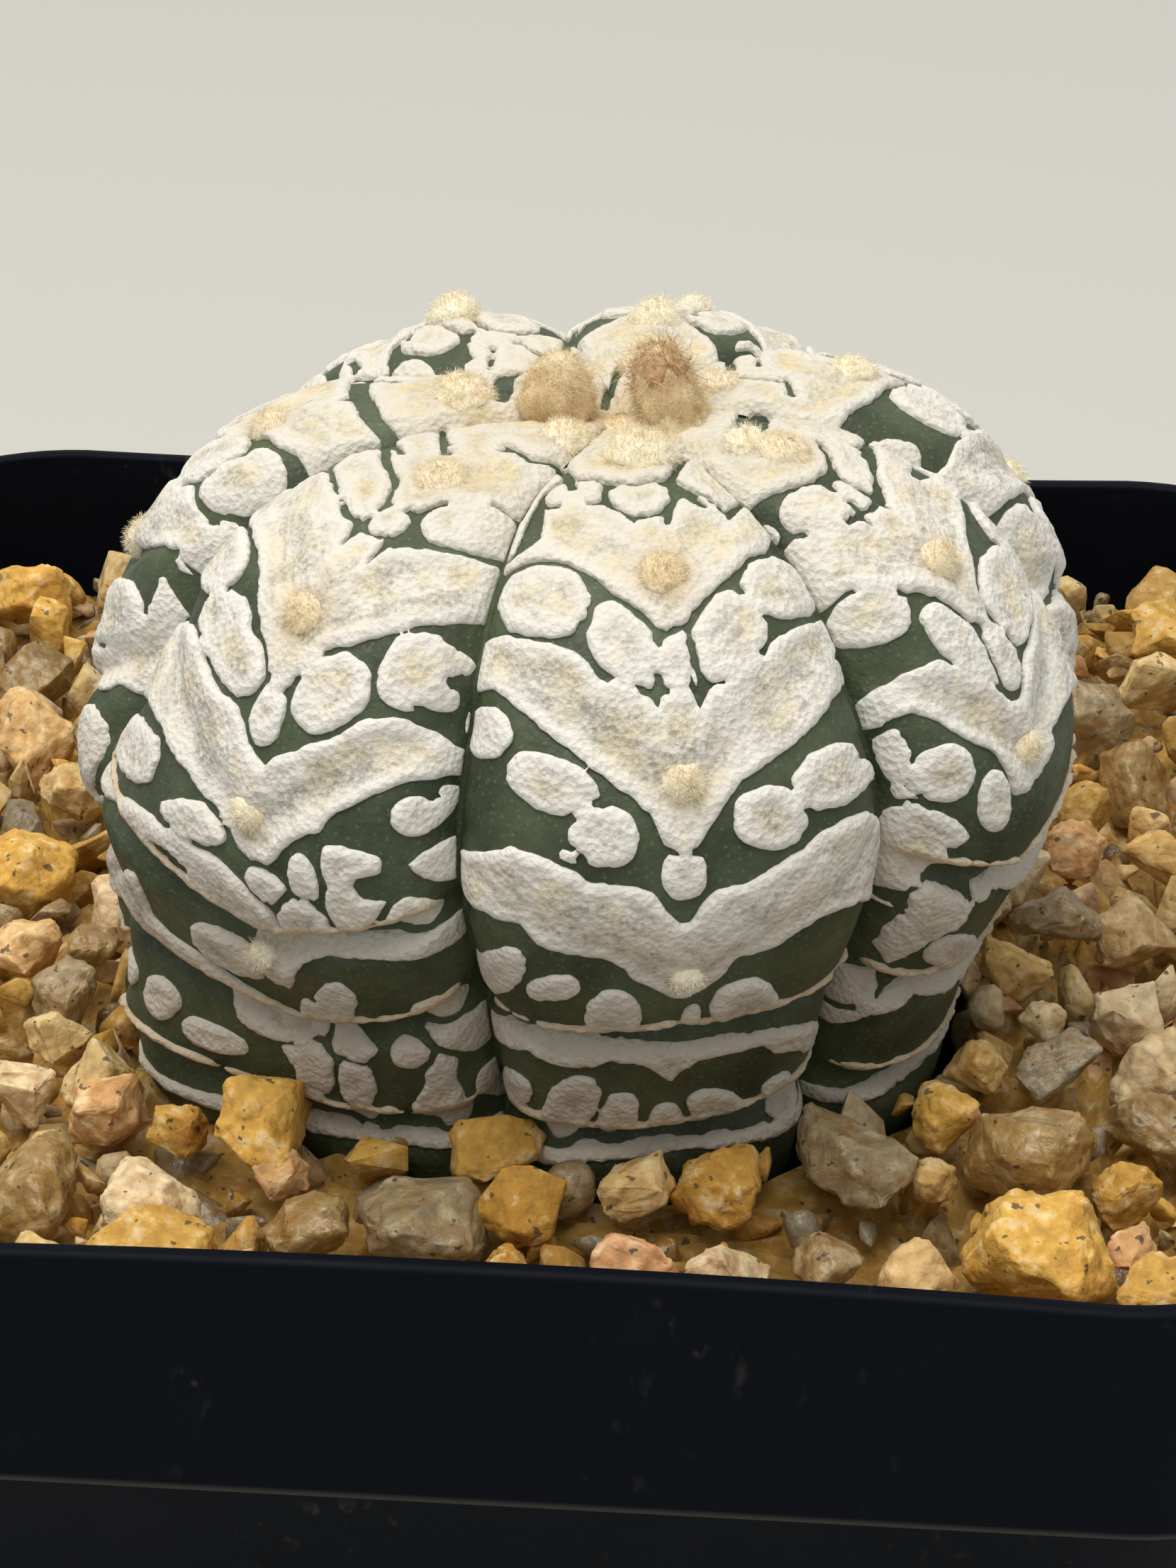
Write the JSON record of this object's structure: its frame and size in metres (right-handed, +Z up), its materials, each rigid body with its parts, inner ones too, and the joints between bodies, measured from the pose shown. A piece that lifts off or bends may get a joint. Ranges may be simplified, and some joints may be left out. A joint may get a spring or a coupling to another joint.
{
  "type": "potted super kabuto star cactus",
  "caption": "Squat ribbed star cactus with white felt bands and flecks, set in coarse gravel in a square black nursery pot.",
  "frame": {"origin": "middle of the pot's base, on the surface that the pot stands on", "axes": "+Z up; -Y is the pot's front side, which the plant's front rib faces, turned a little towards +X"},
  "size_m": [0.089, 0.089, 0.1135],
  "materials": {
    "pot_plastic": "satin",
    "potting_mix": "matte",
    "granite_grit": "matte",
    "cactus_skin": "matte",
    "dried_bud": "matte"
  },
  "bodies": {
    "root": {"pot": "pot_plastic", "potting_mix": "potting_mix", "gravel_top_dressing": "granite_grit", "cactus": "cactus_skin", "dried_bud_left": "dried_bud", "dried_bud_right": "dried_bud"}
  },
  "joints": []
}
